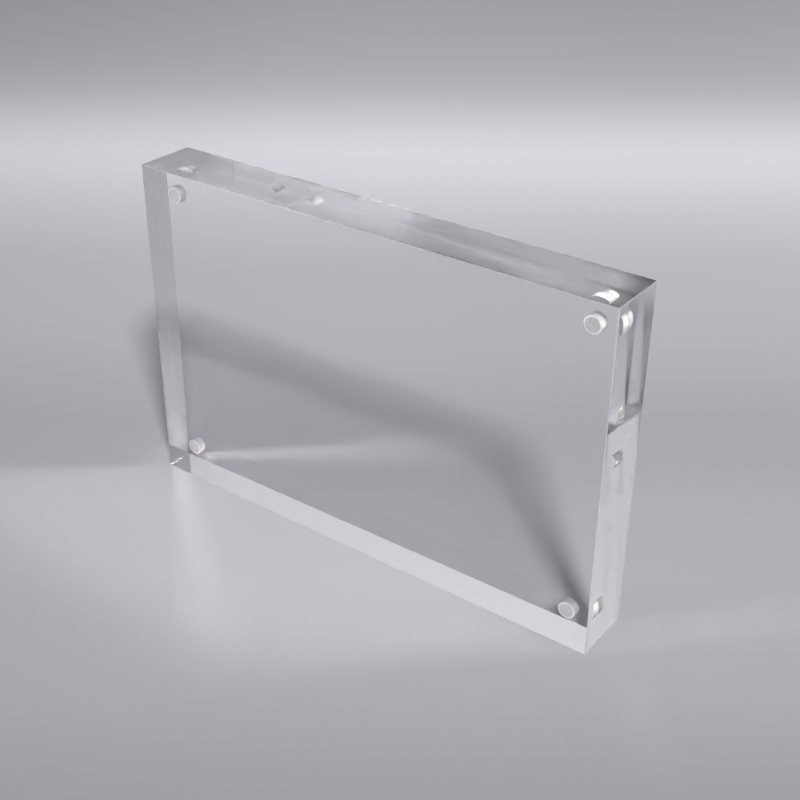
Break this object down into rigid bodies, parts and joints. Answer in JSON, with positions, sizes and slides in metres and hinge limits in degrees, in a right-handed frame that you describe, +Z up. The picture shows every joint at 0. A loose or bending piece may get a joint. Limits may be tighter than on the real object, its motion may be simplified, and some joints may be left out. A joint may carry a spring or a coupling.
{
  "type": "acrylic block frame",
  "caption": "Clear acrylic block photo frame for a 6 x 4 inch print: thick polished blocks held face to face by disc magnets sunk in their corners.",
  "frame": {"origin": "middle of the base, on the surface that the frame stands on, half way through its depth", "axes": "+X along the frame's long side, to the right of someone who looks at its front; -Y out of the front face; +Z up"},
  "size_m": [0.1524, 0.0186, 0.1016],
  "materials": {
    "clear_acrylic": "polished",
    "nickel_plate": "polished",
    "cured_adhesive": "satin"
  },
  "bodies": {
    "rear_half": {"rear_block": "clear_acrylic", "rear_magnet_top_left": "nickel_plate", "rear_magnet_top_right": "nickel_plate", "rear_magnet_bottom_left": "nickel_plate", "rear_magnet_bottom_right": "nickel_plate", "rear_adhesive_top_left": "cured_adhesive", "rear_adhesive_top_right": "cured_adhesive", "rear_adhesive_bottom_left": "cured_adhesive", "rear_adhesive_bottom_right": "cured_adhesive"},
    "front_half": {"front_block": "clear_acrylic", "front_magnet_top_left": "nickel_plate", "front_magnet_top_right": "nickel_plate", "front_magnet_bottom_left": "nickel_plate", "front_magnet_bottom_right": "nickel_plate", "front_adhesive_top_left": "cured_adhesive", "front_adhesive_top_right": "cured_adhesive", "front_adhesive_bottom_left": "cured_adhesive", "front_adhesive_bottom_right": "cured_adhesive"}
  },
  "joints": [
    {"name": "front_half_lift_off", "type": "slide", "parent": "rear_half", "child": "front_half", "axis": [0, -1, 0], "range_m": [0, 0.08]}
  ]
}
